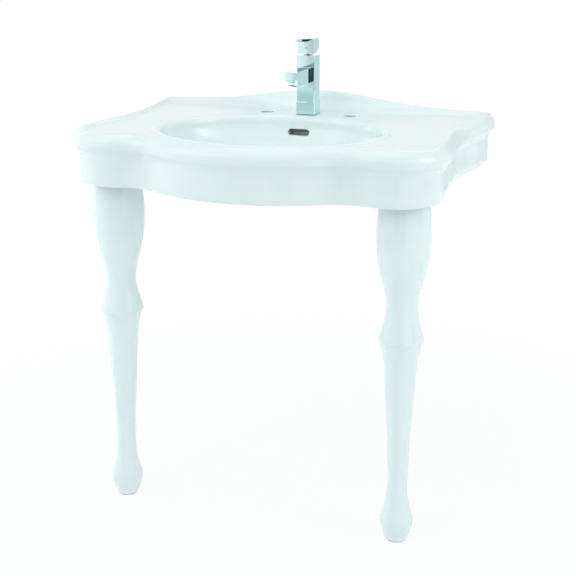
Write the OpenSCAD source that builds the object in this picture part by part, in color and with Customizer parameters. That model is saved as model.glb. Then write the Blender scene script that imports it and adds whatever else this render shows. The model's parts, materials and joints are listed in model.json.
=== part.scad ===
// Console sink with two turned legs, a square single-lever mixer and a push-open waste.
// +X is right, +Y is towards the wall, +Z is up. The wall face is Y = 0.
// The origin is midway between the two wall bolt holes, on the wall face.

/* [Setting out] */
// Width of the basin over its rim, at the wall
width = 838; // [826:1:850]
// Height of the deck above the floor
deck_height = 854; // [780:1:920]
// Drop from the deck to the wall bolt holes
fixing_drop = 70; // [60:1:78]
// Distance between the two wall bolt holes
fixing_spacing = 280; // [200:5:320]
// Distance between the two side tap holes
tap_hole_spacing = 203.2; // [190:0.1:210]
// Distance from the wall to the tap holes
tap_set_back = 105; // [100:1:110]

/* [Basin outline] */
// Distance from the wall to the front of the bow
bow_reach = 618; // [610:1:626]
// Radius of the bowed front
bow_r = 335; // [320:1:350]
// Radius of the hollows between the bow and the corners
hollow_r = 100; // [90:1:110]
// Radius of the rounded front corners
lobe_r = 100; // [94:1:104]
// Distance of the corner centres in from the ends of the back
lobe_in = 108; // [104:1:112]
// Distance of the corner centres from the wall
lobe_set_back = 457; // [450:1:462]
// How far the waist is drawn in on each side
waist_in = 24; // [18:1:30]
// Distance of the waist from the wall
waist_set_back = 255; // [230:1:280]

/* [Basin section] */
// Height of the apron below the deck
apron_depth = 110; // [106:1:116]
// Thickness of the apron and the back
wall = 13; // [12:0.5:14]
// Thickness of the deck
deck_t = 13; // [12:0.5:14]
// Reach of the rolled rim past the apron
rim_out = 11; // [9:0.5:12]
// Height of the rolled rim
rim_h = 37; // [33:1:40]
// Height of the upstand above the deck at its ends
upstand_end = 9; // [7:0.5:14]
// Extra height of the upstand in the middle
upstand_rise = 34.5; // [25:0.5:42]
// Half width over which the upstand falls away
upstand_spread = 187; // [150:1:220]

/* [Bowl] */
// Distance from the wall to the middle of the bowl
bowl_set_back = 363; // [359:1:366]
// Half width of the bowl's mouth
bowl_a = 243; // [238:1:246]
// Half depth of the bowl's mouth
bowl_b = 196; // [192:1:198]
// Depth of the bowl below the deck
bowl_depth = 104; // [98:1:108]
// Thickness of the bowl
bowl_t = 12; // [10:0.5:14]
// Width of the overflow slot
overflow_w = 51; // [40:1:54]
// Height of the overflow slot
overflow_h = 14.7; // [10:0.1:16]

/* [Holes in the basin] */
// Radius of the side tap holes
side_hole_r = 15.75; // [14:0.05:18]
// Radius of the middle tap hole
tap_hole_r = 17.5; // [17:0.1:18]
// Radius of the waste hole
waste_hole_r = 23; // [22:0.5:25]
// Radius of the wall bolt holes
wall_hole_r = 7; // [6.5:0.1:9]

/* [Tap] */
// Width of the square tower
tap_w = 42; // [38:0.5:44]
// Height of the tower above the deck
tap_h = 136.5; // [132:0.5:140]
// Width of the plinth
plinth_w = 44.5; // [44:0.5:50]
// Height of the plinth
plinth_h = 29.5; // [10:0.5:40]
// Bevel on the tower's upright edges
tap_bevel = 0.8; // [0.5:0.1:2]
// Width of the spout
spout_w = 27; // [24:0.5:30]
// Reach of the spout from the tap axis
spout_reach = 125; // [118:1:135]
// Radius of the aerator
aerator_r = 11.5; // [11:0.1:12]

/* [Handle] */
// Width of the handle block
handle_w = 38.5; // [36:0.5:42]
// Gap between the tower and the handle
handle_gap = 5; // [4.5:0.1:7]
// Height of the handle block
handle_h = 34; // [30:0.5:38]
// Width of the bar lever
lever_w = 9; // [7:0.5:14]
// Thickness of the bar lever
lever_t = 6.5; // [5:0.1:8]
// Reach of the bar lever past the block
lever_reach = 62; // [45:1:70]
// Rise of the bar lever from the block to its tip
lever_rise = 4; // [0:0.5:8]
// Tilt of the handle from shut to full flow
tilt_range = 24; // [15:1:25]

/* [Legs] */
// Distance of each leg's axis in from the apron's side
leg_in = 80; // [76:1:86]
// Distance of each leg's axis behind the corner's centre
leg_behind = 4.4; // [0:0.1:8]
// Thickness of the rubber cushion on each leg
cushion_t = 4; // [2:0.5:6]
// Depth of the leg seats below the deck
seat_drop = 40; // [36:1:44]
// Thickness of the pad under each foot
foot_pad_t = 2.5; // [1.5:0.5:4]

/* [Hidden] */

$fn = 64;
hair = 0.01;          // overlap that keeps joined solids one
deck_z = fixing_drop;
floor_z = deck_z - deck_height;
back_x = width / 2 - rim_out;     // half width of the apron at the wall
waist_x = back_x - waist_in;
lobe_x = back_x - lobe_in;
lobe_y = -lobe_set_back;
leg_x = lobe_x + lobe_r - leg_in;
leg_y = lobe_y + leg_behind;
bowl_y = -bowl_set_back;
tap_y = -tap_set_back;
running = 0.05;       // radial clearance of a pin or spindle that turns

china = "whitesmoke";
metal = "gainsboro";
rubber = "dimgray";
plastic = "lightgray";

// Outline of the apron

bow_y = bow_r - bow_reach;                       // centre of the bow's arc
centre_gap = norm([lobe_x, lobe_y - bow_y]);     // from the bow's centre to the lobe's
bow_arm = bow_r + hollow_r;
lobe_arm = lobe_r + hollow_r;
along = (bow_arm * bow_arm - lobe_arm * lobe_arm + centre_gap * centre_gap) / (2 * centre_gap);
across = sqrt(bow_arm * bow_arm - along * along);
to_lobe = [lobe_x, lobe_y - bow_y] / centre_gap;
hollow_c = [0, bow_y] + to_lobe * along + [to_lobe[1], -to_lobe[0]] * across;
bow_end = atan2(hollow_c[0], bow_y - hollow_c[1]);
hollow_end = atan2(lobe_x - hollow_c[0], lobe_y - hollow_c[1]);

bow_steps = 11;
hollow_steps = 8;
lobe_steps = 14;
side_steps = 16;
back_steps = 24;

// Each entry is a point of the apron's outline and its outward direction.
function heading(t) = [sin(t), -cos(t)];
function ease(t) = (1 - cos(180 * t)) / 2;
function ease_slope(t) = sin(180 * t) * PI / 2;
function side_x(y) = y < -waist_set_back
    ? lobe_x + lobe_r + (waist_x - lobe_x - lobe_r) * ease((y - lobe_y) / (lobe_set_back - waist_set_back))
    : waist_x + (back_x - waist_x) * ease(1 + y / waist_set_back);
function side_slope(y) = y < -waist_set_back
    ? (waist_x - lobe_x - lobe_r) / (lobe_set_back - waist_set_back)
        * ease_slope((y - lobe_y) / (lobe_set_back - waist_set_back))
    : (back_x - waist_x) / waist_set_back * ease_slope(1 + y / waist_set_back);

right_half = concat(
    [for (i = [0 : bow_steps - 1]) let (t = bow_end * i / bow_steps)
        [[0, bow_y] + bow_r * heading(t), heading(t)]],
    [for (i = [0 : hollow_steps - 1]) let (t = -bow_end + (bow_end + hollow_end) * i / hollow_steps)
        [hollow_c - hollow_r * heading(-t), heading(-t)]],
    [for (i = [0 : lobe_steps - 1]) let (t = -hollow_end + (90 + hollow_end) * i / lobe_steps)
        [[lobe_x, lobe_y] + lobe_r * heading(t), heading(t)]],
    [for (i = [0 : side_steps]) let (y = lobe_y * (1 - i / side_steps), g = side_slope(y))
        [[side_x(y), y], [1, -g] / norm([1, g])]]
);
last = len(right_half) - 1;
u_line = concat(
    [for (i = [last : -1 : 1]) [[-right_half[i][0][0], right_half[i][0][1]],
                                [-right_half[i][1][0], right_half[i][1][1]]]],
    right_half
);

// Section of the basin
// Each ring is [offset outward from the outline, height from the deck,
//               distance from the wall along the back, share of the upstand's height].

back_wall = wall + 1;
rim_crest = 4.8;
rim_in = 31;          // how far the rim runs in from the outline to the flat deck
back_in = 50;         // the same from the wall
foot_round = 8;       // rounding of the apron's lower edge
inner_round = 11;     // rounding under the deck, where the apron starts
outer_rings = [
    [-wall, -apron_depth, back_wall, 0],
    [-wall * 0.58, -apron_depth + foot_round * 0.25, back_wall * 0.29, 0],
    [-wall * 0.38, -apron_depth + foot_round, 0, 0],
    [-wall * 0.19, -apron_depth * 0.65, 0, 0],
    [0, -rim_h, 0, 0],
    [rim_out * 0.36, -rim_h * 0.89, 0, 0],
    [rim_out * 0.82, -rim_h * 0.73, 0, 0],
    [rim_out, -rim_h * 0.51, 0, 0],
    [rim_out * 0.82, -rim_h * 0.24, 0, 0.2],
    [rim_out * 0.27, -rim_h * 0.027, 0, 0.75],
    [-rim_in * 0.13, rim_crest * 0.75, back_in * 0.02, 0.95],
    [-rim_in * 0.27, rim_crest, back_in * 0.1, 1],
    [-rim_in * 0.45, rim_crest * 0.8, back_in * 0.22, 0.84],
    [-rim_in * 0.65, rim_crest * 0.35, back_in * 0.4, 0.5],
    [-rim_in * 0.84, rim_crest * 0.1, back_in * 0.68, 0.16],
    [-rim_in, 0, back_in, 0]
];
inner_rings = [
    [-rim_in, -deck_t, back_in * 1.2, 0],
    [-rim_in * 0.65, -deck_t - inner_round * 0.18, back_wall + inner_round * 0.73, 0],
    [-wall, -deck_t - inner_round, back_wall, 0],
    [-wall, -apron_depth * 0.64, back_wall, 0]
];
// Each ring is [half width, half depth, height from the deck].
lip_w = 19;
lip_h = 1.4;
lip_drop = 5;
lip_rings = [
    [bowl_a + lip_w, bowl_b + lip_w * 0.95, 0],
    [bowl_a + lip_w * 0.74, bowl_b + lip_w * 0.71, lip_h * 0.71],
    [bowl_a + lip_w * 0.42, bowl_b + lip_w * 0.42, lip_h],
    [bowl_a + lip_w * 0.13, bowl_b + lip_w * 0.13, -lip_h * 0.29],
    [bowl_a, bowl_b, -lip_drop]
];
// The bowl's section: share of the mouth's width, share of the bowl's depth.
bowl_curve = [[0.985, 0.2], [0.95, 0.42], [0.885, 0.64], [0.77, 0.82], [0.58, 0.93], [0.34, 0.98]];
waste_recess_r = 34;
waste_core_r = 12;
bowl_rings = concat(
    [for (c = bowl_curve) [bowl_a * c[0], bowl_b * c[0], -bowl_depth * c[1]]],
    [[waste_recess_r, waste_recess_r, -bowl_depth], [waste_core_r, waste_core_r, -bowl_depth]]
);
waste_boss_h = 31;
waste_boss_r = 45;
function bowl_at(i) = i < 0 ? [1, 0] : bowl_curve[i];
function bowl_tangent(i) = let (
    a = bowl_at(i - 1),
    b = i == len(bowl_curve) - 1 ? [0.1, 1] : bowl_at(i + 1),
    d = [(b[0] - a[0]) * (bowl_a + bowl_b) / 2, -(b[1] - a[1]) * bowl_depth]
) d / norm(d);
under_rings = concat(
    [
        [waste_core_r, waste_core_r, -bowl_depth - waste_boss_h],
        [waste_boss_r, waste_boss_r, -bowl_depth - waste_boss_h],
        [waste_boss_r * 1.09, waste_boss_r * 1.09, -bowl_depth - bowl_t]
    ],
    [for (i = [len(bowl_curve) - 1 : -1 : 0]) let (t = bowl_tangent(i), c = bowl_curve[i])
        [bowl_a * c[0] - t[1] * bowl_t, bowl_b * c[0] - t[1] * bowl_t, -bowl_depth * c[1] + t[0] * bowl_t]],
    [[bowl_a + lip_w * 1.26, bowl_b + lip_w * 1.05, -deck_t]]
);

function upstand(x) = upstand_rise * exp(-pow(x / upstand_spread, 2));
function corner_z(ring) = ring[1] + ring[3] * (upstand_end - rim_crest);
// The back corners are squared up over this distance from the wall.
corner_run = 150;
function turn_in(y) = y < -corner_run ? 0 : ease(1 + y / corner_run);

function edge_ring(ring) = concat(
    [for (s = u_line) let (
        p = s[0] + ring[0] * s[1],
        k = turn_in(s[0][1])
    ) [p[0], p[1] * (1 - k) + k * (s[0][1] - ring[2]), ring[1] + k * (corner_z(ring) - ring[1]) + deck_z]],
    [for (i = [1 : back_steps - 1]) let (
        x = (back_x + ring[0]) * cos(180 * i / back_steps)
    ) [x, -ring[2], corner_z(ring) + ring[3] * upstand(x) + deck_z]]
);
spokes = edge_ring(outer_rings[len(outer_rings) - 1]);
function oval_ring(ring) = [for (p = spokes) let (
    q = [p[0], p[1] - bowl_y],
    k = norm([q[0] / ring[0], q[1] / ring[1]])
) [q[0] / k, bowl_y + q[1] / k, ring[2] + deck_z]];

basin_rings = concat(
    [for (r = outer_rings) edge_ring(r)],
    [for (r = concat(lip_rings, bowl_rings, under_rings)) oval_ring(r)],
    [for (r = inner_rings) edge_ring(r)]
);

module closed_rings(rings) {
    m = len(rings);
    n = len(rings[0]);
    polyhedron(
        points = [for (r = rings) for (p = r) p],
        faces = [for (j = [0 : m - 1], i = [0 : n - 1]) let (
            a = j * n + i,
            b = j * n + (i + 1) % n,
            c = ((j + 1) % m) * n + (i + 1) % n,
            d = ((j + 1) % m) * n + i
        ) each [[a, c, b], [a, d, c]]],
        convexity = 8
    );
}

// Overflow
// The bowl's back section, from the mouth to the waste, and the same line pushed outward.

back_section = [for (r = bowl_rings) [bowl_y + r[1], r[2] + deck_z]];
function section_normal(i) = let (
    a = back_section[max(i - 1, 0)],
    b = back_section[min(i + 1, len(back_section) - 1)],
    d = (b - a) / norm(b - a)
) [-d[1], d[0]];
// It stops where the section reaches the waste's recess.
function pushed(by) = [for (i = [0 : len(bowl_curve)]) back_section[i] + section_normal(i) * by];
function reversed(list) = [for (i = [len(list) - 1 : -1 : 0]) list[i]];
duct_w = 62;
duct_bore_w = 52;
duct_gap = 17;        // depth of the channel behind the bowl's wall
duct_t = 5;
overflow_drop = 34;
bowl_back_y = bowl_y + bowl_b;

module across_middle(width) {
    translate([-width / 2, 0, 0]) rotate([90, 0, 90]) linear_extrude(width) children();
}

module overflow_duct() {
    across_middle(duct_w)
        polygon(concat(
            [[bowl_back_y + bowl_t * 2, deck_z - deck_t + 1]],
            pushed(bowl_t + duct_gap + duct_t),
            [[bowl_y + 30, deck_z - bowl_depth - waste_boss_h + 2]],
            reversed(pushed(bowl_t / 2)),
            [[bowl_back_y + bowl_t - 3, deck_z - deck_t + 1]]
        ));
}

module overflow_bore() {
    across_middle(duct_bore_w)
        polygon(concat(
            pushed(bowl_t + duct_gap),
            [
                [bowl_y + 10, deck_z - bowl_depth - waste_boss_h + 7],
                [bowl_y + 10, deck_z - bowl_depth - bowl_t]
            ],
            reversed(pushed(bowl_t))
        ));
    slot_l = 4 * bowl_t;
    straight_w = overflow_w - overflow_h;
    translate([0, bowl_back_y + bowl_t, deck_z - overflow_drop]) {
        for (side = [-1, 1])
            translate([side * straight_w / 2, 0, 0]) rotate([90, 0, 0]) cylinder(d = overflow_h, h = slot_l);
        translate([-straight_w / 2, -slot_l, -overflow_h / 2]) cube([straight_w, slot_l, overflow_h]);
    }
}

// Basin

seat_z = deck_z - seat_drop;
seat_r = 60;
seat_hole_depth = 20;
leg_stud_r = 5;
leg_stud_gap = 1.5;

module left() {
    translate([-leg_x, leg_y, 0]) children();
}

module right() {
    translate([leg_x, leg_y, 0]) children();
}

module deck_hole(x, r) {
    translate([x, tap_y, deck_z - deck_t - 5]) cylinder(r = r, h = deck_t + 10);
}

module wall_hole(x) {
    translate([x, 1, 0]) rotate([90, 0, 0]) cylinder(r = wall_hole_r, h = back_wall + 2);
}

module leg_seat() {
    translate([0, 0, seat_z]) cylinder(r = seat_r, h = seat_drop - deck_t / 2);
}

module seat_hole() {
    translate([0, 0, seat_z - 1]) cylinder(r = leg_stud_r + leg_stud_gap, h = seat_hole_depth + 1);
}

module basin() {
    color(china)
        difference() {
            union() {
                closed_rings(basin_rings);
                left() leg_seat();
                right() leg_seat();
                overflow_duct();
            }
            overflow_bore();
            deck_hole(0, tap_hole_r);
            for (side = [-1, 1]) {
                deck_hole(side * tap_hole_spacing / 2, side_hole_r);
                wall_hole(side * fixing_spacing / 2);
            }
            translate([0, bowl_y, deck_z - bowl_depth - waste_boss_h - 1])
                cylinder(r = waste_hole_r, h = waste_boss_h + 2);
            left() seat_hole();
            right() seat_hole();
        }
}

// Legs
// Turned profile: [share of the leg's height, radius]. A smooth curve runs through each list.

ring_r = 48;
leg_upper = [[0.5542, ring_r], [0.5827, 41.5], [0.6037, 36.5], [0.6409, 32.7], [0.678, 35.8],
             [0.7276, 46.5], [0.7895, 54.9], [0.8328, 56.1], [0.8786, 53.8], [0.9381, 49.5], [1, 47]];
leg_lower = [[0.0588, 36], [0.0861, 29.5], [0.1183, 23.5], [0.1393, 22.1], [0.1703, 21.7],
             [0.2198, 22.6], [0.3189, 26.4], [0.418, 31], [0.4898, 34.7], [0.5108, 36.8],
             [0.5294, 40], [0.543, 43.5], [0.5542, ring_r]];
leg_foot = [[0, 23], [0.0155, 27.5], [0.0341, 32.5], [0.0489, 35.6], [0.0588, 36]];
leg_wall = 9;
leg_bore_r = 20;
foot_z = floor_z + foot_pad_t;
cushion_z = seat_z - cushion_t;
leg_h = cushion_z - foot_z;

function knot_slope(k, i) = let (a = k[max(i - 1, 0)], b = k[min(i + 1, len(k) - 1)])
    (b[1] - a[1]) / (b[0] - a[0]);
function hermite(a, b, ma, mb, t) = let (h = b[0] - a[0]) [
    a[0] + h * t,
    (2 * t * t * t - 3 * t * t + 1) * a[1] + (t * t * t - 2 * t * t + t) * h * ma
        + (3 * t * t - 2 * t * t * t) * b[1] + (t * t * t - t * t) * h * mb
];
function smooth_curve(k, steps) = concat(
    [for (i = [0 : len(k) - 2], j = [0 : steps - 1])
        hermite(k[i], k[i + 1], knot_slope(k, i), knot_slope(k, i + 1), j / steps)],
    [k[len(k) - 1]]
);
function no_last(list) = [for (i = [0 : len(list) - 2]) list[i]];

leg_line = concat(
    no_last(smooth_curve(leg_foot, 3)),
    no_last(smooth_curve(leg_lower, 3)),
    smooth_curve(leg_upper, 4)
);

module leg() {
    color(china)
        translate([0, 0, foot_z])
            rotate_extrude($fn = 96)
                polygon(concat(
                    [for (p = leg_line) [p[1], p[0] * leg_h]],
                    [for (p = reversed(leg_line)) [min(leg_bore_r, p[1] - leg_wall), p[0] * leg_h]]
                ));
}

module hex(flats, h) {
    cylinder(r = flats / sqrt(3), h = h, $fn = 6);
}

ferrule_top = cushion_z - 12;
ferrule_h = 34;
stud_foot = ferrule_top - ferrule_h + 4;
stud_top = seat_z + seat_hole_depth - 6;
locknut_h = 8;
locknut_flats = 17;
foot_pad_r = 21;
cushion_r = 46;

module leg_cushion() {
    color(rubber)
        translate([0, 0, cushion_z])
            difference() {
                cylinder(r = cushion_r, h = cushion_t);
                translate([0, 0, -1]) cylinder(r = leg_bore_r, h = cushion_t + 2);
            }
}

module leg_ferrule() {
    color("goldenrod")
        translate([0, 0, ferrule_top - ferrule_h])
            difference() {
                cylinder(r = leg_bore_r, h = ferrule_h);
                translate([0, 0, -1]) cylinder(r = leg_stud_r, h = ferrule_h + 2);
            }
}

module leg_stud() {
    color(metal)
        translate([0, 0, stud_foot]) cylinder(r = leg_stud_r, h = stud_top - stud_foot);
}

module leg_locknut() {
    color(metal)
        translate([0, 0, ferrule_top])
            difference() {
                hex(locknut_flats, locknut_h);
                translate([0, 0, -1]) cylinder(r = leg_stud_r, h = locknut_h + 2);
            }
}

module foot_pad() {
    color(rubber)
        translate([0, 0, floor_z]) cylinder(r = foot_pad_r, h = foot_pad_t);
}

// Mixer
// Heights here are above the deck.

gasket_t = 1;
spout_top = 109;
spout_under = 76;
spout_tip_under = 91;
spout_slope_start = 80;
trim_t = 2.5;
trim_hole_r = 12.5;
cartridge_r = 17.5;
cartridge_floor = 96;
cartridge_top = 128;
collar_r = 13;
spindle_r = 10;
spindle_floor = 109;
spindle_top = 126;
pivot_h = 119;
tilt_pin_r = 1.5;
stem_r = 4;
stem_top = 166;
inlet_x = 8.5;
inlet_y = 5;
inlet_thread_r = 5;
inlet_thread_l = 14;
passage_r = 5.5;
port_r = 3;
port_depth = 12;
outlet_y = -10;
outlet_r = 4.5;
stud_y = -9;
stud_r = 4;
stud_in_body = 18;
water_r = 5;
water_h = 92.5;
water_start = -6;
slope_angle = atan2(spout_tip_under - spout_under, spout_reach - spout_slope_start);

module at_tap() {
    translate([0, tap_y, deck_z]) children();
}

module bevelled_block(w, z0, z1, bevel) {
    a = w / 2;
    b = a - bevel;
    translate([0, 0, z0])
        linear_extrude(z1 - z0)
            polygon([[a, b], [b, a], [-b, a], [-a, b], [-a, -b], [-b, -a], [b, -a], [a, -b]]);
}

module spout() {
    across_middle(spout_w)
        polygon([
            [0, spout_top], [-spout_reach, spout_top], [-spout_reach, spout_tip_under],
            [-spout_slope_start, spout_under], [0, spout_under]
        ]);
}

// The aerator's axis stands square to the sloped underside. Its own +Z points up into the spout.
aerator_along = 0.55;
aerator_root = [
    -spout_slope_start - (spout_reach - spout_slope_start) * aerator_along,
    spout_under + (spout_tip_under - spout_under) * aerator_along
];
aerator_seat = 11;
aerator_thread_r = 10.6;

module at_aerator() {
    translate([0, aerator_root[0], aerator_root[1]]) rotate([-slope_angle, 0, 0]) children();
}

module tap_body() {
    color(metal)
        at_tap()
            difference() {
                union() {
                    bevelled_block(plinth_w, gasket_t, plinth_h, tap_bevel);
                    bevelled_block(tap_w, plinth_h - hair, tap_h - trim_t, tap_bevel);
                    spout();
                }
                translate([0, 0, cartridge_floor]) cylinder(r = cartridge_r, h = tap_h - cartridge_floor);
                for (side = [-1, 1])
                    translate([side * inlet_x, inlet_y, 0]) {
                        cylinder(r = inlet_thread_r, h = cartridge_floor);
                        translate([0, 0, gasket_t + inlet_thread_l])
                            cylinder(r = passage_r, h = cartridge_floor - inlet_thread_l);
                    }
                translate([0, stud_y, -1]) cylinder(r = stud_r, h = stud_in_body + 1);
                translate([0, outlet_y, water_h]) cylinder(r = outlet_r, h = 10);
                translate([0, aerator_root[0], water_h]) rotate([-90, 0, 0])
                    cylinder(r = water_r, h = water_start - aerator_root[0]);
                at_aerator() translate([0, 0, -1]) cylinder(r = aerator_thread_r, h = aerator_seat + 1);
            }
}

module tap_gasket() {
    color(rubber)
        at_tap()
            difference() {
                bevelled_block(plinth_w - 1, 0, gasket_t, tap_bevel);
                translate([0, 0, -1]) cylinder(r = tap_hole_r, h = 4);
            }
}

module trim_plate() {
    color(metal)
        at_tap()
            difference() {
                bevelled_block(tap_w, tap_h - trim_t, tap_h, tap_bevel);
                translate([0, 0, tap_h - trim_t - 1]) cylinder(r = trim_hole_r, h = trim_t + 2);
            }
}

module cartridge() {
    color(plastic)
        at_tap()
            difference() {
                union() {
                    translate([0, 0, cartridge_floor])
                        cylinder(r = cartridge_r, h = cartridge_top - cartridge_floor);
                    translate([0, 0, cartridge_top - hair]) cylinder(r = collar_r + 2, h = 3);
                }
                translate([0, 0, spindle_floor]) cylinder(r = spindle_r, h = tap_h - spindle_floor);
                translate([0, 0, spindle_top]) cylinder(r = collar_r, h = tap_h - spindle_top);
                for (p = [[-inlet_x, inlet_y], [inlet_x, inlet_y], [0, outlet_y]])
                    translate([p[0], p[1], cartridge_floor - 1]) cylinder(r = port_r, h = port_depth);
            }
}

module cartridge_nut() {
    color("goldenrod")
        at_tap()
            difference() {
                translate([0, 0, cartridge_top])
                    cylinder(r = cartridge_r, h = tap_h - trim_t - cartridge_top);
                translate([0, 0, cartridge_top - 1]) cylinder(r = collar_r + 2, h = tap_h - cartridge_top);
            }
}

module turret() {
    slot = 2 * stem_r + 0.4;
    color(plastic)
        at_tap()
            difference() {
                translate([0, 0, spindle_floor + 0.3])
                    cylinder(r = spindle_r - running, h = spindle_top - spindle_floor - 0.3);
                translate([-slot / 2, -20, pivot_h - stem_r - 0.4]) cube([slot, 40, 40]);
                translate([-20, 0, pivot_h]) rotate([0, 90, 0]) cylinder(r = tilt_pin_r, h = 40);
            }
}

module tilt_pin() {
    color(metal)
        at_tap() translate([-8.5, 0, pivot_h]) rotate([0, 90, 0]) cylinder(r = tilt_pin_r, h = 17);
}

module lever_stem() {
    color("dimgray")
        at_tap()
            difference() {
                union() {
                    translate([0, 0, pivot_h]) cylinder(r = stem_r, h = stem_top - pivot_h);
                    translate([-stem_r, 0, pivot_h]) rotate([0, 90, 0]) cylinder(r = stem_r, h = 2 * stem_r);
                }
                translate([-20, 0, pivot_h]) rotate([0, 90, 0]) cylinder(r = tilt_pin_r + running, h = 40);
            }
}

handle_z = tap_h + handle_gap;
handle_top = handle_z + handle_h;
bevel_start = -5;      // the underside's bevel starts just ahead of the tap axis
bevel_rise = (handle_w / 2 - bevel_start) * tan(tilt_range);
edge = 0.6;
grub_z = 154;
grub_r = 2;

module bar_lever(root, tip) {
    across_middle(lever_w)
        polygon([
            [root, handle_top - lever_t], [root, handle_top],
            [tip + edge, handle_top + lever_rise], [tip, handle_top + lever_rise - edge],
            [tip, handle_top + lever_rise - lever_t + edge], [tip + edge, handle_top + lever_rise - lever_t]
        ]);
}

module handle() {
    a = handle_w / 2;
    color(metal)
        at_tap()
            difference() {
                union() {
                    across_middle(handle_w)
                        polygon([
                            [-a, handle_z + edge], [-a + edge, handle_z], [bevel_start, handle_z],
                            [a, handle_z + bevel_rise], [a, handle_top - edge], [a - edge, handle_top],
                            [-a + edge, handle_top], [-a, handle_top - edge]
                        ]);
                    bar_lever(-a + edge, -a - lever_reach);
                }
                translate([0, 0, handle_z - 1]) cylinder(r = stem_r, h = stem_top - handle_z + 1);
                translate([0, 0, grub_z]) rotate([90, 0, 0]) cylinder(r = grub_r, h = 40);
            }
}

module grub_screw() {
    color("dimgray")
        at_tap()
            translate([0, -stem_r, grub_z])
                rotate([90, 0, 0])
                    difference() {
                        cylinder(r = grub_r, h = 10);
                        translate([0, 0, 7]) hex(2, 4);
                    }
}

module index_plug() {
    color("slategray")
        at_tap()
            translate([0, -handle_w / 2 - 0.3, grub_z]) rotate([-90, 0, 0]) cylinder(r = grub_r, h = 4);
}

aerator_h = 8;
aerator_bore_r = 9;
aerator_thread_l = 7;
aerator_face_gap = 0.02;
insert_h = 12;
jet_r = 1.6;
jet_ring_r = 5.2;

module aerator_housing() {
    color(metal)
        at_tap() at_aerator()
            difference() {
                union() {
                    translate([0, 0, -aerator_h]) cylinder(r = aerator_r, h = aerator_h - aerator_face_gap);
                    translate([0, 0, -aerator_face_gap - hair])
                        cylinder(r = aerator_thread_r - running, h = aerator_thread_l + aerator_face_gap);
                }
                translate([0, 0, -aerator_h - 1])
                    cylinder(r = aerator_bore_r, h = aerator_h + aerator_thread_l + 2);
            }
}

module aerator_insert() {
    color(plastic)
        at_tap() at_aerator()
            translate([0, 0, 1 - aerator_h])
                difference() {
                    cylinder(r = aerator_bore_r - running, h = insert_h);
                    for (a = [0 : 60 : 300])
                        rotate(a) translate([jet_ring_r, 0, -1]) cylinder(r = jet_r, h = insert_h + 2);
                    translate([0, 0, -1]) cylinder(r = jet_r, h = insert_h + 2);
                }
}

module aerator_washer() {
    color(rubber)
        at_tap() at_aerator()
            translate([0, 0, aerator_thread_l])
                difference() {
                    cylinder(r = aerator_thread_r - 0.2, h = 2);
                    translate([0, 0, -1]) cylinder(r = aerator_bore_r - 2, h = 4);
                }
}

clamp_t = 3;
clamp_r = 26;
clamp_hole_r = 15;
clamp_tongue_w = 20;
tap_nut_flats = 13;
tap_nut_h = 7;
stud_below = 50;

module horseshoe(t) {
    difference() {
        cylinder(r = clamp_r, h = t);
        translate([-clamp_hole_r, 0, -1]) cube([2 * clamp_hole_r, clamp_r, t + 2]);
        translate([0, 0, -1]) cylinder(r = clamp_hole_r, h = t + 2);
    }
    difference() {
        translate([-clamp_tongue_w / 2, 2 * stud_y, 0]) cube([clamp_tongue_w, 16, t]);
        translate([0, stud_y, -1]) cylinder(r = stud_r, h = t + 2);
    }
}

module horseshoe_gasket() {
    color(rubber)
        at_tap() translate([0, 0, -deck_t - clamp_t]) horseshoe(clamp_t);
}

module horseshoe_washer() {
    color(metal)
        at_tap() translate([0, 0, -deck_t - 2 * clamp_t]) horseshoe(clamp_t);
}

module tap_stud() {
    color(metal)
        at_tap() translate([0, stud_y, -stud_below]) cylinder(r = stud_r, h = stud_below + stud_in_body);
}

module tap_nut() {
    color("goldenrod")
        at_tap()
            translate([0, stud_y, -deck_t - 2 * clamp_t - tap_nut_h])
                difference() {
                    hex(tap_nut_flats, tap_nut_h);
                    translate([0, 0, -1]) cylinder(r = stud_r, h = tap_nut_h + 2);
                }
}

// Waste
// Heights here are from the floor of the bowl's recess.

tail_r = 20.95;
tail_bore_r = 18;
flange_r = 32;
flange_t = 3;
seal_t = 2;
cup_seal_t = 4;
cup_seal_r = 31;
backnut_t = 8;
backnut_flats = 54;
nut_end = -waste_boss_h - cup_seal_t - backnut_t;
groove_l = 1.5;       // between the backnut's thread and the trap's
groove_depth = 0.8;
tail_thread_l = 9;
tail_end = nut_end - groove_l - tail_thread_l;
window_z = -25;       // overflow water enters the waste here
window_w = 12;
window_h = 14;
guide_r = 6;
guide_z = -34;
bridge_t = 6;
plug_r = 30;
plug_z = seal_t + flange_t + 1.3;
plug_t = 3;
plug_stem_r = 4;
plug_stem_foot = -10;
clicker_foot = -40;
clicker_top = -6;

module at_waste() {
    translate([0, bowl_y, deck_z - bowl_depth]) children();
}

module waste_body() {
    color(metal)
        at_waste()
            difference() {
                union() {
                    translate([0, 0, seal_t]) cylinder(r = flange_r, h = flange_t);
                    translate([0, 0, nut_end]) cylinder(r = tail_r, h = seal_t - nut_end + hair);
                    translate([0, 0, tail_end])
                        cylinder(r = tail_r - groove_depth, h = nut_end - tail_end + hair);
                    translate([0, 0, tail_end]) cylinder(r = tail_r, h = tail_thread_l);
                }
                translate([0, 0, tail_end - 1])
                    cylinder(r = tail_bore_r, h = seal_t + flange_t - tail_end + 2);
                translate([0, 0, seal_t + flange_t / 2])
                    cylinder(r1 = tail_bore_r, r2 = flange_r - flange_t, h = flange_t);
                for (a = [0, 90, 180, 270])
                    rotate(a) translate([tail_bore_r / 2, -window_w / 2, window_z])
                        cube([tail_bore_r, window_w, window_h]);
            }
    color(metal)
        at_waste()
            translate([0, 0, guide_z])
                difference() {
                    union() {
                        translate([-tail_bore_r - 1, -bridge_t / 2, 0])
                            cube([2 * tail_bore_r + 2, bridge_t, bridge_t]);
                        cylinder(r = guide_r + 3, h = 2 * bridge_t + 2);
                    }
                    translate([0, 0, -1]) cylinder(r = guide_r, h = 2 * bridge_t + 4);
                }
}

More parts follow.
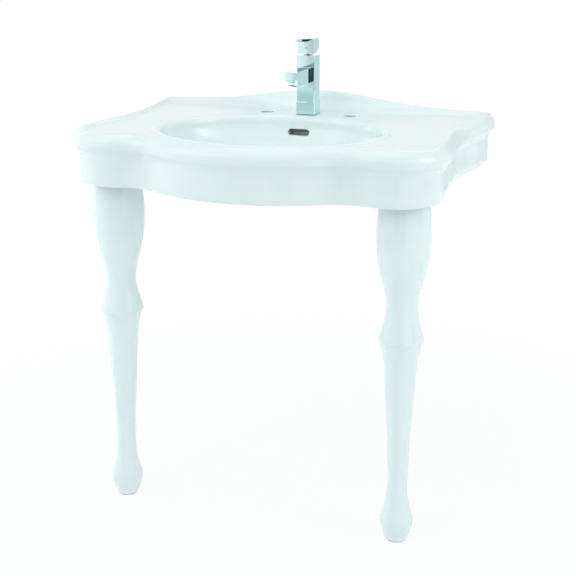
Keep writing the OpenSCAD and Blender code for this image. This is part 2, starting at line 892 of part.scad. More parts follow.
module waste_top_seal() {
    color(rubber)
        at_waste()
            difference() {
                cylinder(r = flange_r - 2, h = seal_t);
                translate([0, 0, -1]) cylinder(r = tail_r, h = seal_t + 2);
            }
}

module waste_bottom_seal() {
    color(rubber)
        at_waste()
            translate([0, 0, -waste_boss_h - cup_seal_t])
                difference() {
                    cylinder(r = cup_seal_r, h = cup_seal_t);
                    translate([0, 0, -1]) cylinder(r = tail_r, h = cup_seal_t + 2);
                }
}

module waste_backnut() {
    color(metal)
        at_waste()
            translate([0, 0, nut_end])
                difference() {
                    hex(backnut_flats, backnut_t);
                    translate([0, 0, -1]) cylinder(r = tail_r, h = backnut_t + 2);
                }
}

module waste_plug() {
    color(metal)
        at_waste()
            union() {
                translate([0, 0, plug_z]) cylinder(r = plug_r, h = plug_t);
                translate([0, 0, plug_z + plug_t - hair]) cylinder(r1 = plug_r, r2 = plug_r - 4, h = 1.2);
                translate([0, 0, plug_stem_foot])
                    cylinder(r = plug_stem_r, h = plug_z + hair - plug_stem_foot);
            }
}

module plug_seal() {
    color(rubber)
        at_waste()
            translate([0, 0, plug_z - 1])
                difference() {
                    cylinder(r = plug_r - 4, h = 1);
                    translate([0, 0, -1]) cylinder(r = plug_stem_r, h = 3);
                }
}

module plug_clicker() {
    color(plastic)
        at_waste()
            difference() {
                translate([0, 0, clicker_foot])
                    cylinder(r = guide_r - running, h = clicker_top - clicker_foot);
                translate([0, 0, plug_stem_foot])
                    cylinder(r = plug_stem_r, h = clicker_top - plug_stem_foot + 1);
            }
}

basin();
left() leg();  // leg_left
right() leg();  // leg_right
left() leg_cushion();  // leg_cushion_left
right() leg_cushion();  // leg_cushion_right
left() leg_ferrule();  // leg_ferrule_left
right() leg_ferrule();  // leg_ferrule_right
left() leg_stud();  // leg_stud_left
right() leg_stud();  // leg_stud_right
left() leg_locknut();  // leg_locknut_left
right() leg_locknut();  // leg_locknut_right
left() foot_pad();  // foot_pad_left
right() foot_pad();  // foot_pad_right
tap_body();
tap_gasket();
trim_plate();
cartridge();
cartridge_nut();
turret();
tilt_pin();
lever_stem();
handle();
grub_screw();
index_plug();
aerator_housing();
aerator_insert();
aerator_washer();
tap_stud();
horseshoe_gasket();
horseshoe_washer();
tap_nut();
waste_body();
waste_top_seal();
waste_bottom_seal();
waste_backnut();
waste_plug();
plug_seal();
plug_clicker();
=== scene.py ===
# Console sink: china basin with a rolled rim on two turned legs, square lever mixer, push-open waste.
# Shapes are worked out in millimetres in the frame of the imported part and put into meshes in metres.
import json
import math
import bpy
import numpy as np
from mathutils import Matrix, Vector


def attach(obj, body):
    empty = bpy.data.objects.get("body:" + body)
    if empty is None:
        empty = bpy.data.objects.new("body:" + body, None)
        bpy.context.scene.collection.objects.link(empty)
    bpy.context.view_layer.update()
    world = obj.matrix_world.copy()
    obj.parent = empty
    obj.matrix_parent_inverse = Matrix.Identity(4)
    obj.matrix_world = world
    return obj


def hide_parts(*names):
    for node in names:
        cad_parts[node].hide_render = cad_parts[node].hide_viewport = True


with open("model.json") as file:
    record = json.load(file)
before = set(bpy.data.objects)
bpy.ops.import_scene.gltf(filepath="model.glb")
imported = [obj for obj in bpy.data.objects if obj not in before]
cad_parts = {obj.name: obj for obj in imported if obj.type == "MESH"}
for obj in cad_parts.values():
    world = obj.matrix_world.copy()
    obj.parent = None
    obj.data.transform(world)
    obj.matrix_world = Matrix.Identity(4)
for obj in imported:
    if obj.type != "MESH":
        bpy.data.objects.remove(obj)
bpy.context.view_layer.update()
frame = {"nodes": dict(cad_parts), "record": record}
nodes = frame["nodes"]
mm = 0.001
nearAxis = 0.01  # mm; a turned profile ends just off its axis, so that its cap has an area
print("frame loaded:", len(nodes), "nodes")

setting = {  # where things stand, in mm; the origin is midway between the wall bolt holes
    "deck": 70,           # top of the deck
    "floor": -784,        # what the feet stand on
    "tapY": -105,         # row of tap holes
    "bowlY": -363,        # middle of the bowl
    "legX": 320,          # axis of either leg
    "legY": -452.6,
}
deck = setting["deck"]


# Curves and meshes

def ease(t):  # half a cosine wave: flat at 0 and at 1
    return (1 - np.cos(np.pi * np.clip(t, 0, 1))) / 2


def throughPoints(points, steps):
    # Each stretch is a cubic. Its end slopes are those of the parabola through the point and its
    # two neighbours, measured along the chords, so the line is smooth through every point.
    points = np.asarray(points, float)
    chord = np.maximum(np.linalg.norm(np.diff(points, axis=0), axis=1), 1e-6)
    at = np.r_[0, np.cumsum(chord)]
    slope = np.gradient(points, at, axis=0)
    t = np.linspace(0, 1, steps, endpoint=False)[None, :, None]
    a, b = points[:-1, None], points[1:, None]
    ma, mb = slope[:-1, None] * chord[:, None, None], slope[1:, None] * chord[:, None, None]
    curve = ((2 * t**3 - 3 * t**2 + 1) * a + (t**3 - 2 * t**2 + t) * ma
             + (3 * t**2 - 2 * t**3) * b + (t**3 - t**2) * mb)
    return np.vstack([curve.reshape(-1, points.shape[1]), points[-1:]])


def gridFaces(rows, columns, closeRows):
    # Square (i, j) joins row i to the next row and column j to the next column. The columns always
    # close on themselves.
    i = np.arange(rows if closeRows else rows - 1)[:, None]
    j = np.arange(columns)[None, :]
    nextI, nextJ = (i + 1) % rows, (j + 1) % columns
    corners = [i * columns + j, i * columns + nextJ, nextI * columns + nextJ, nextI * columns + j]
    return np.stack([np.broadcast_to(c, (i.size, j.size)) for c in corners], -1).reshape(-1, 4)


def addMesh(name, points, faces, flip=False):  # points in mm
    mesh = bpy.data.meshes.new(name)
    faces = [list(f)[::-1] if flip else list(f) for f in faces]
    mesh.from_pydata((np.asarray(points, float).reshape(-1, 3) * mm).tolist(), [], faces)
    mesh.update()
    obj = bpy.data.objects.new(name, mesh)
    bpy.context.scene.collection.objects.link(obj)
    return obj


def surface(name, grid, closeRows=False, caps=False, flip=False):
    rows, columns = grid.shape[:2]
    faces = gridFaces(rows, columns, closeRows).tolist()
    if caps:
        faces += [list(range(columns))[::-1], list(range((rows - 1) * columns, rows * columns))]
    return addMesh(name, grid, faces, flip)


def turned(name, profile, count=96, closed=True):
    # A profile of (radius, height) carried round the Z axis; a closed profile makes a ring.
    angle = np.arange(count) * 2 * np.pi / count
    profile = np.asarray(profile, float)
    r, z = profile[:, 0, None], profile[:, 1, None]
    grid = np.stack([r * np.cos(angle), r * np.sin(angle), z + 0 * angle], -1)
    return surface(name, grid, closeRows=closed, caps=not closed)


def rod(name, r, low, high, count=48):
    return turned(name, [(nearAxis, low), (r, low), (r, high), (nearAxis, high)], count, closed=False)


def prism(name, outline, low, high, axis="z"):
    # An outline, anticlockwise, pushed from low to high along Z, or an outline in Y and Z along X.
    outline = np.asarray(outline, float)
    ends = [np.c_[outline, np.full(len(outline), h)] for h in (low, high)]
    grid = np.stack(ends)
    if axis == "x":
        grid = grid[..., [2, 0, 1]]
    return surface(name, grid, caps=True)


def moved(obj, x=0, y=0, z=0):  # mm, into the mesh
    obj.data.transform(Matrix.Translation((x * mm, y * mm, z * mm)))
    return obj


def settle(obj):  # turns live modifiers into plain mesh
    bpy.context.view_layer.update()
    mesh = bpy.data.meshes.new_from_object(obj.evaluated_get(bpy.context.evaluated_depsgraph_get()))
    obj.modifiers.clear()
    obj.data = mesh
    return obj


def carve(obj, cutters=(), additions=()):
    # Joins the additions, then takes away the cutters; both are used up.
    for others, operation in ((additions, "UNION"), (cutters, "DIFFERENCE")):
        for other in others:
            boolean = obj.modifiers.new(operation.lower(), "BOOLEAN")
            boolean.operation = operation
            boolean.solver = "MANIFOLD"
            boolean.object = other
    settle(obj)
    for other in [*additions, *cutters]:
        bpy.data.objects.remove(other)
    return obj


def soften(obj, width):  # rounds the edges sharper than 35 degrees by a width in mm
    bevel = obj.modifiers.new("edges", "BEVEL")
    bevel.width = width * mm
    bevel.segments = 3
    bevel.limit_method = "ANGLE"
    bevel.angle_limit = math.radians(35)
    return settle(obj)


def smooth(obj, angle, flats=False):
    # Edges sharper than the angle in degrees stay sharp. With flats, the larger faces lead the
    # shading at their corners, so they look flat.
    obj.data.shade_smooth()
    obj.data.set_sharp_from_angle(angle=math.radians(angle))
    if flats:
        weighted = obj.modifiers.new("flats", "WEIGHTED_NORMAL")
        weighted.keep_sharp = True
        settle(obj)
    return obj


def place(obj, body, slot, material, *replaced):
    if not obj.data.materials:
        obj.data.materials.append(material)
    obj.data.materials[0] = material
    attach(obj, body)
    if replaced:
        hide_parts(*replaced)
    return obj


# Materials

def linear(hexCode):  # an sRGB hex colour as the linear values that the shader takes
    s = np.array([int(hexCode[i:i + 2], 16) for i in (0, 2, 4)]) / 255
    return (*np.where(s <= 0.04045, s / 12.92, ((s + 0.055) / 1.055) ** 2.4).tolist(), 1)


def darker(hexCode, share):
    return (*(share * c for c in linear(hexCode)[:3]), 1)


def addNode(tree, kind, inputs=None, **settings):
    node = tree.nodes.new(kind)
    for key, value in settings.items():
        setattr(node, key, value)
    for key, value in (inputs or {}).items():
        if isinstance(value, bpy.types.NodeSocket):
            tree.links.new(value, node.inputs[key])
        else:
            node.inputs[key].default_value = value
    return node


def newMaterial(name, **shader):
    material = bpy.data.materials.new(name)
    material.use_nodes = True
    principled = material.node_tree.nodes["Principled BSDF"]
    for key, value in shader.items():
        principled.inputs[key].default_value = value
    return material, material.node_tree, principled


def perMetre(millimetres):  # noise scale whose grain is about that size
    return 1000 / millimetres


# Glazed vitreous china, slip cast and fired: a thick, slightly wavy white glaze that mirrors its
# surroundings sharply, a body that is a touch cool, and glaze that thins and pools by a hair.
def glazedChina(name, hexCode, poolHex):
    material, tree, principled = newMaterial(name, Roughness=0.1, IOR=1.52)
    objectAt = addNode(tree, "ShaderNodeTexCoord").outputs["Object"]
    pooling = addNode(tree, "ShaderNodeTexNoise", {"Vector": objectAt, "Scale": perMetre(90),
                                                   "Detail": 2.0})
    colour = addNode(tree, "ShaderNodeMix", {"Factor": pooling.outputs["Fac"], "A": linear(hexCode),
                                             "B": linear(poolHex)}, data_type="RGBA")
    gloss = addNode(tree, "ShaderNodeMapRange", {"Value": pooling.outputs["Fac"],
                                                 "To Min": 0.07, "To Max": 0.13})
    wave = addNode(tree, "ShaderNodeTexNoise", {"Vector": objectAt, "Scale": perMetre(14),
                                                "Detail": 1.0})
    bump = addNode(tree, "ShaderNodeBump", {"Height": wave.outputs["Fac"],
                                            "Strength": 0.12, "Distance": 0.0006})
    tree.links.new(colour.outputs["Result"], principled.inputs["Base Color"])
    tree.links.new(gloss.outputs["Result"], principled.inputs["Roughness"])
    tree.links.new(bump.outputs["Normal"], principled.inputs["Normal"])
    return material


# Chromium plate on polished brass: a mirror with a cool cast, faint polishing haze in soft clouds.
def chromePlate(name, hexCode):
    material, tree, principled = newMaterial(name, Metallic=1.0, Roughness=0.06)
    principled.inputs["Base Color"].default_value = linear(hexCode)
    objectAt = addNode(tree, "ShaderNodeTexCoord").outputs["Object"]
    haze = addNode(tree, "ShaderNodeTexNoise", {"Vector": objectAt, "Scale": perMetre(18),
                                                "Detail": 4.0})
    gloss = addNode(tree, "ShaderNodeMapRange", {"Value": haze.outputs["Fac"],
                                                 "To Min": 0.035, "To Max": 0.09})
    tree.links.new(gloss.outputs["Result"], principled.inputs["Roughness"])
    return material


# Bare fired clay inside the holes, where no glaze runs: dull, with a fine grit. Its cream grey, well
# below the china's white, is painted shade for the holes, the slot and the duct.
def bareClayWithPaintedShade(name, hexCode):
    material, tree, principled = newMaterial(name, Roughness=0.85, IOR=1.5)
    objectAt = addNode(tree, "ShaderNodeTexCoord").outputs["Object"]
    grit = addNode(tree, "ShaderNodeTexNoise", {"Vector": objectAt, "Scale": perMetre(0.7),
                                                "Detail": 2.0})
    colour = addNode(tree, "ShaderNodeMix", {"Factor": grit.outputs["Fac"], "A": linear(hexCode),
                                             "B": darker(hexCode, 0.8)}, data_type="RGBA")
    bump = addNode(tree, "ShaderNodeBump", {"Height": grit.outputs["Fac"],
                                            "Strength": 0.3, "Distance": 0.0002})
    tree.links.new(colour.outputs["Result"], principled.inputs["Base Color"])
    tree.links.new(bump.outputs["Normal"], principled.inputs["Normal"])
    return material


# Turned metal: fine rings left by the cutting tool, and faint stains. Real rings stand a few tenths
# of a millimetre apart, too fine to show, so they are drawn coarser.
def turnedMetal(name, hexCode, roughness, ringPitch):
    material, tree, principled = newMaterial(name, Metallic=1.0, Roughness=roughness)
    objectAt = addNode(tree, "ShaderNodeTexCoord").outputs["Object"]
    bandsInUnit = 20 / (2 * math.pi)  # a wave texture draws this many in one unit of its scale
    rings = addNode(tree, "ShaderNodeTexWave", {
        "Vector": objectAt, "Scale": perMetre(ringPitch) / bandsInUnit,
        "Distortion": 0.4, "Detail": 2.0}, bands_direction="Z")
    bump = addNode(tree, "ShaderNodeBump", {"Height": rings.outputs["Fac"],
                                            "Strength": 0.25, "Distance": 0.0002})
    stain = addNode(tree, "ShaderNodeTexNoise", {"Vector": objectAt, "Scale": perMetre(8),
                                                 "Detail": 3.0})
    colour = addNode(tree, "ShaderNodeMix", {"Factor": stain.outputs["Fac"], "A": linear(hexCode),
                                             "B": darker(hexCode, 0.8)}, data_type="RGBA")
    tree.links.new(colour.outputs["Result"], principled.inputs["Base Color"])
    tree.links.new(bump.outputs["Normal"], principled.inputs["Normal"])
    return material


# Moulded plastic and rubber: a fine matte grain from the mould and slight cloudiness.
def moulded(name, hexCode, roughness, grain):
    material, tree, principled = newMaterial(name, Roughness=roughness, IOR=1.49)
    objectAt = addNode(tree, "ShaderNodeTexCoord").outputs["Object"]
    cloud = addNode(tree, "ShaderNodeTexNoise", {"Vector": objectAt, "Scale": perMetre(12),
                                                 "Detail": 2.0})
    colour = addNode(tree, "ShaderNodeMix", {"Factor": cloud.outputs["Fac"], "A": linear(hexCode),
                                             "B": darker(hexCode, 0.9)}, data_type="RGBA")
    speckle = addNode(tree, "ShaderNodeTexNoise", {"Vector": objectAt, "Scale": perMetre(grain),
                                                   "Detail": 2.0})
    bump = addNode(tree, "ShaderNodeBump", {"Height": speckle.outputs["Fac"],
                                            "Strength": 0.2, "Distance": 0.0002})
    tree.links.new(colour.outputs["Result"], principled.inputs["Base Color"])
    tree.links.new(bump.outputs["Normal"], principled.inputs["Normal"])
    return material


chinaOfBasin = glazedChina("glazed vitreous china", "F1F6F6", "EAF3F3")
# The legs' glaze is the basin's glaze. Its colours are set apart only to match how the legs are lit:
# painted shade.
legChinaWithPaintedShade = glazedChina("glazed vitreous china of the legs", "F0F7F7", "E8F2F3")
# Darker than the china, to paint the shade inside the holes, the slot and the duct.
bisqueAndPaintedShade = bareClayWithPaintedShade("unglazed bisque", "C4CBC8")
chrome = chromePlate("chromium plate on brass", "DAF3F5")
zincSteel = turnedMetal("zinc plated steel", "A9ABAD", 0.35, 1.885)
brass = turnedMetal("turned brass", "C9A65A", 0.28, 1.508)
blackRubber = moulded("moulded nitrile rubber", "1C1D1E", 0.75, 0.8)
acetal = moulded("moulded acetal", "DADAD4", 0.45, 1.2)
whiteNylon = moulded("moulded white nylon", "E8F0F0", 0.4, 1.0)
greyAcetal = moulded("grey aerator acetal", "50565A", 0.4, 1.0)
paleIndex = moulded("pale index enamel", "A2B6BA", 0.15, 2.0)
print("materials made")


# Basin

basin = {
    "bowReach": 618, "bowR": 335, "hollowR": 100,              # bowed front and its hollows
    "lobeX": 300, "lobeY": -457, "lobeR": 100,                 # rounded front corners
    "waistX": 384, "waistY": -255, "backX": 408,               # narrowest place, half width at the wall
    "apron": 110, "wall": 13, "deckT": 13, "rimCrest": 5.8,    # heights and thicknesses of the china
    "upstandEnd": 9, "upstandRise": 34.5, "upstandSpread": 187,  # raised back, as a bell curve
    "turnLength": 150,                                         # over which the rim turns to the wall
    "bowlA": 243, "bowlB": 196, "bowlDepth": 104, "bowlT": 12,  # half sizes of the oval, depth, china
    "wasteSeatR": 34, "drainR": 12, "bossR": 45, "bossH": 31, "bossFlare": 4,  # under the waste
    "overflowW": 51, "overflowH": 14.7, "overflowDrop": 34,    # slot, and how far below the deck
    "tapHoleX": 101.6, "sideHoleR": 15.75, "tapHoleR": 17.5, "wasteHoleR": 23,
    "wallHoleX": 140, "wallHoleR": 7,                          # for the wall's bolts
    "seatR": 60, "seatDrop": 40, "studHoleR": 6.5,             # seats of the legs under the deck
    "cornerR": 26, "cornerFrom": 8, "cornerSpan": 18,          # inner corners of the deck at the wall
    "glazeR": 1.6, "flareTurn": 76, "flareSteps": 7,           # glazed edge of a hole; mm, degrees
    "holeSides": 72, "cutStep": 3,                             # cutters, and how far their ends widen
    "cutOver": 20, "cutUnder": 40, "wasteCut": 200,            # their reach over and under the deck,
    "slotCut": (-4, 30),                                       # from the bowl's back into the duct,
    "studCut": (-10, 20), "wallCut": (-10, 50),                # from a leg's seat and from the wall
    "seatTop": 6,                                              # below the deck, inside the china
    "crease": 50,                                              # degrees; a sharper edge stays crisp
}


def basinOutline(b, bowSteps=44, hollowSteps=30, lobeSteps=56, sideSteps=60):
    # The bow, hollow and lobe are arcs that touch; the side is two cosine waves that meet at the
    # waist. Returns points and outward directions from the left back corner to the right one.
    bowC = np.array([0, b["bowR"] - b["bowReach"]])
    lobeC = np.array([b["lobeX"], b["lobeY"]])
    gap = lobeC - bowC
    span = np.hypot(*gap)
    bowArm, lobeArm = b["bowR"] + b["hollowR"], b["lobeR"] + b["hollowR"]
    along = (bowArm**2 - lobeArm**2 + span**2) / (2 * span)
    across = math.sqrt(bowArm**2 - along**2)
    hollowC = bowC + gap / span * along + np.array([gap[1], -gap[0]]) / span * across
    bowEnd = math.atan2(hollowC[0], bowC[1] - hollowC[1])
    hollowEnd = math.atan2(*(lobeC - hollowC))

    def heading(t):
        return np.stack([np.sin(t), -np.cos(t)], -1)

    t = np.linspace(0, bowEnd, bowSteps, endpoint=False)
    points, normals = [bowC + b["bowR"] * heading(t)], [heading(t)]
    t = np.linspace(bowEnd, -hollowEnd, hollowSteps, endpoint=False)
    points.append(hollowC - b["hollowR"] * heading(t))
    normals.append(heading(t))
    t = np.linspace(-hollowEnd, np.pi / 2, lobeSteps, endpoint=False)
    points.append(lobeC + b["lobeR"] * heading(t))
    normals.append(heading(t))
    y = b["lobeY"] * (1 - ease(np.linspace(0, 1, sideSteps + 1)))
    crest = b["lobeX"] + b["lobeR"]
    x = np.where(y < b["waistY"],
                 crest + (b["waistX"] - crest) * ease((y - b["lobeY"]) / (b["waistY"] - b["lobeY"])),
                 b["waistX"] + (b["backX"] - b["waistX"]) * ease(1 - y / b["waistY"]))
    points.append(np.stack([x, y], -1))
    lean = np.gradient(x, y)
    lean[-1] = 0
    normals.append(np.stack([np.ones_like(lean), -lean], -1) / np.hypot(1, lean)[:, None])
    points, normals = np.vstack(points), np.vstack(normals)
    mirror = np.array([-1, 1])
    return np.vstack([points[:0:-1] * mirror, points]), np.vstack([normals[:0:-1] * mirror, normals])


def edgeSurface(b, rings, backSteps=64):
    # Ring by ring: the outline pushed outward by the ring's offset, which near the wall turns into a
    # line parallel to it. Along the wall the height follows the upstand's bell curve.
    points, normals = basinOutline(b)
    offset, height, depth, share = (rings[:, k, None] for k in range(4))
    depth = np.maximum(depth, 0)  # nothing stands behind the wall's face
    turn = ease(1 + points[:, 1] / b["turnLength"])[None]
    endHeight = height + share * (b["upstandEnd"] - b["rimCrest"])
    x = points[None, :, 0] + offset * normals[None, :, 0]
    y = ((points[None, :, 1] + offset * normals[None, :, 1]) * (1 - turn)
         + turn * (points[None, :, 1] - depth))
    z = height + turn * (endHeight - height)
    sweep = np.linspace(0, np.pi, backSteps + 1)[1:-1]
    backX = (b["backX"] + offset) * np.cos(sweep)
    bell = b["upstandRise"] * np.exp(-(backX / b["upstandSpread"])**2)
    back = np.stack([backX, 0 * backX - depth, endHeight + share * bell], -1)
    side = np.stack([x, y, z], -1)
    # Each inner corner becomes a parabola that starts and ends one radius from the corner.
    radius = b["cornerR"] * ease((-b["cornerFrom"] - offset) / b["cornerSpan"]) + 0 * depth
    for corner, away in ((side[:, -1, :2], -1), (side[:, 0, :2], 1)):
        corner = corner[:, None].copy()
        for line, sign in ((side, -1), (back, 1)):
            far = np.linalg.norm(line[..., :2] - corner, axis=-1)
            near = (far < radius) & (np.sign(line[..., 0]) == -away)
            t = np.where(near, 0.5 + sign * 0.5 * far / np.maximum(radius, 1e-9), 0.5)[..., None]
            start = corner + np.stack([0 * radius, -radius], -1)
            end = corner + np.stack([away * radius, 0 * radius], -1)
            arc = (1 - t)**2 * start + 2 * t * (1 - t) * corner + t**2 * end
            line[..., :2] = np.where(near[..., None], arc, line[..., :2])
    grid = np.concatenate([side, back], axis=1)
    grid[..., 2] += deck
    return grid


def ovalSurface(rings, spokes):
    # Ellipses about the bowl's middle, met where each spoke from the middle crosses them.
    q = spokes - np.array([0, setting["bowlY"]])
    a, c = rings[:, 0, None], rings[:, 1, None]
    k = np.hypot(q[:, 0] / a, q[:, 1] / c)
    x, y = q[:, 0] / k, setting["bowlY"] + q[:, 1] / k
    return np.stack([x, y, rings[:, 2, None] + deck + 0 * x], -1)


apron, wall, deckT = basin["apron"], basin["wall"], basin["deckT"]
# Section of the rim: offset outward, height from the deck, distance from the wall, share of upstand.
rimSection = [
    (-wall, -apron, wall + 1, 0), (-7.5, -apron + 2, 4, 0), (-5, -apron + 8, 0, 0), (-2.5, -71.5, 0, 0),
    (0, -37, 0, 0), (4, -32.9, 0, 0), (9, -27, 0, 0), (11, -18.9, 0, 0), (9, -8.9, 0, 0.2),
    (3, -1, 0, 0.75), (-4, 4.3, 1, 0.95), (-9, basin["rimCrest"], 5, 1), (-14, 5.2, 11, 0.88),
    (-18.5, 2.9, 18, 0.58), (-22.5, 0.9, 27, 0.3), (-26.5, 0.1, 36, 0.1), (-31, 0, 50, 0),
    (-34, 0, 54, 0),
]
innerSection = [(-31, -deckT, 60, 0), (-20, -deckT - 2, wall + 9, 0), (-wall, -24, wall + 1, 0),
                (-wall, -70.4, wall + 1, 0)]
bowlA, bowlB, bowlDepth, bowlT = (basin[k] for k in ("bowlA", "bowlB", "bowlDepth", "bowlT"))
# Section of the bowl's lip: how far out from the mouth to the side, and to the front; height.
lip = [(24, 23, 0), (18, 17, 0), (16.4, 15.4, 1.3), (13, 12, 2.5), (8, 7.5, 2.6), (3, 3, 1.2),
       (-0.6, -0.6, -1.8), (-2.6, -2.4, -6)]
lipSection = [(bowlA + a, bowlB + b, h) for a, b, h in lip]
# Shares of the bowl's half width and of its depth, from the lip down.
bowlCurve = [(0.985, 0.2), (0.95, 0.42), (0.885, 0.64), (0.77, 0.82), (0.58, 0.93), (0.34, 0.98)]
bowlSection = [(bowlA * w, bowlB * w, -bowlDepth * h) for w, h in bowlCurve]
bowlSection += [(r, r, -bowlDepth) for r in (basin["wasteSeatR"], basin["drainR"])]


def bowlShell(b):
    # The underside of the bowl is its section pushed outward, square to itself, by its thickness.
    line = np.array([(1, 0)] + bowlCurve + [(0.1, 1)])
    step = (line[2:] - line[:-2]) * [(b["bowlA"] + b["bowlB"]) / 2, -b["bowlDepth"]]
    step /= np.linalg.norm(step, axis=1)[:, None]
    middle = line[1:-1]
    out = -step[:, 1] * b["bowlT"]
    rings = np.stack([b["bowlA"] * middle[:, 0] + out, b["bowlB"] * middle[:, 0] + out,
                      -b["bowlDepth"] * middle[:, 1] + step[:, 0] * b["bowlT"]], -1)
    return rings[::-1]


drainR, bossR, bossH = basin["drainR"], basin["bossR"], basin["bossH"]
bossRoot = bossR + basin["bossFlare"]
underSection = np.vstack([  # from the foot of the waste's boss up to the underside of the deck
    [(drainR, drainR, -bowlDepth - bossH), (bossR, bossR, -bowlDepth - bossH),
     (bossRoot, bossRoot, -bowlDepth - bowlT)],
    bowlShell(basin), [(bowlA + 24, bowlB + 20, -deckT)],
])


def basinShell(b):
    rim = edgeSurface(b, throughPoints(rimSection, 5))
    spokes = rim[-1, :, :2]
    mouth = throughPoints(lipSection + bowlSection[:-2], 5)
    under = throughPoints(underSection[3:], 3)
    grid = np.concatenate([
        rim,
        ovalSurface(mouth, spokes),
        ovalSurface(np.array(bowlSection[-2:]), spokes),
        ovalSurface(underSection[:3], spokes),
        ovalSurface(under, spokes),
        edgeSurface(b, np.array(innerSection)),
    ])
    return surface("chinaBasin", grid, closeRows=True, flip=True), np.vstack([mouth, bowlSection[-2:]])


def glazedFlare(b):
    # Most of a quarter circle, from the bore's wall nearly to the face: how far out from the wall and
    # how deep under the face each of its points lies.
    theta = np.radians(np.linspace(0, b["flareTurn"], b["flareSteps"]))
    return b["glazeR"] * (1 - np.cos(theta)), b["glazeR"] * (1 - np.sin(theta))


def holeCutter(b, name, r, low, high, topEdge, bottomEdge):
    # A bore from low to high whose wall flares out where it meets the top and the bottom face.
    out, deep = glazedFlare(b)
    top = np.c_[r + out, topEdge - deep]
    bottom = np.c_[r + out, bottomEdge + deep][::-1]
    profile = np.vstack([[(nearAxis, low), (bottom[0, 0] + b["cutStep"], low)], bottom, top,
                         [(top[-1, 0] + b["cutStep"], high), (nearAxis, high)]])
    count, wallRow = b["holeSides"], 1 + len(bottom)
    bore = turned(name, profile, count, closed=False)
    return bareWithPaintedShade(bore, slice(count * wallRow, count * (wallRow + 1)))


def bareWithPaintedShade(obj, faces=slice(None)):  # these faces are left bare when the shape is cut out, and their darker bisque paints the shade inside
    index = np.zeros(len(obj.data.polygons), int)
    index[faces] = 1
    obj.data.materials.append(chinaOfBasin)
    obj.data.materials.append(bisqueAndPaintedShade)
    obj.data.polygons.foreach_set("material_index", index)
    return obj


overflow = {  # the duct behind the slot, in mm
    "top": 20.7,                                      # below the deck, where the duct leaves the bowl
    "headDrop": 12, "headY": -143,
    "ductW": 62, "ductOut": 22, "ductFoot": 2, "ductEnd": 30,       # china round the duct
    "boreW": 52, "boreOut": 17, "boreEnd": 10, "boreIn": (24, 12),  # hollow inside it
}


def overflowLine(mouth, push):
    # The bowl's back section at X = 0, from above the overflow down to the waste's recess,
    # pushed outward by a distance.
    behind = (mouth[:, 2] < -overflow["top"]) & (mouth[:, 0] > basin["drainR"])
    line = mouth[behind][::2, 1:] + [setting["bowlY"], deck]
    step = np.gradient(line, axis=0)
    step /= np.linalg.norm(step, axis=1)[:, None]
    return line + push * np.stack([-step[:, 1], step[:, 0]], -1)


def overflowDuct(d, mouth):
    outer, inner = overflowLine(mouth, bowlT + d["ductOut"]), overflowLine(mouth, bowlT / 2)
    foot, top = deck - bowlDepth - bossH + d["ductFoot"], deck - d["headDrop"]
    outline = np.vstack([inner[::-1], [(inner[0, 0], top), (d["headY"], top)], outer,
                         [(setting["bowlY"] + d["ductEnd"], foot)]])
    return prism("duct", outline[::-1], -d["ductW"] / 2, d["ductW"] / 2, axis="x")


def overflowBore(d, mouth):
    outer, inner = overflowLine(mouth, bowlT + d["boreOut"]), overflowLine(mouth, bowlT)
    end, low = setting["bowlY"] + d["boreEnd"], deck - bowlDepth
    outline = np.vstack([inner[::-1], outer, [(end, low - h) for h in d["boreIn"]]])
    return bareWithPaintedShade(prism("ductBore", outline[::-1], -d["boreW"] / 2, d["boreW"] / 2, axis="x"))


def overflowSlot(b, mouth):
    # A pill whose wall flares where it meets the bowl. Each point's depth is counted from the
    # bowl's back: middle of the bowl plus half depth times the circle's rise at that width.
    drop = mouth[:, 2]
    order = np.argsort(drop)
    out, deep = (v[::-1] for v in glazedFlare(b))
    start, end = b["slotCut"]
    out, deep = np.r_[out[0] + b["cutStep"], out, 0], np.r_[start, deep, end]
    angle = np.linspace(0, 2 * np.pi, b["holeSides"], endpoint=False)
    half, r = (b["overflowW"] - b["overflowH"]) / 2, b["overflowH"] / 2
    x = np.sign(np.cos(angle)) * half + (r + out[:, None]) * np.cos(angle)
    z = -b["overflowDrop"] + (r + out[:, None]) * np.sin(angle)
    a, c = (np.interp(z, drop[order], mouth[order, k]) for k in (0, 1))
    y = setting["bowlY"] + c * np.sqrt(1 - (x / a)**2) + deep[:, None]
    y[-1] = y[-1].mean()  # the far end is flat
    slot = surface("slot", np.stack([x, y, z + deck], -1), caps=True, flip=True)
    wallRow = len(out) - 2
    return bareWithPaintedShade(slot, slice(len(angle) * wallRow, len(angle) * (wallRow + 1)))


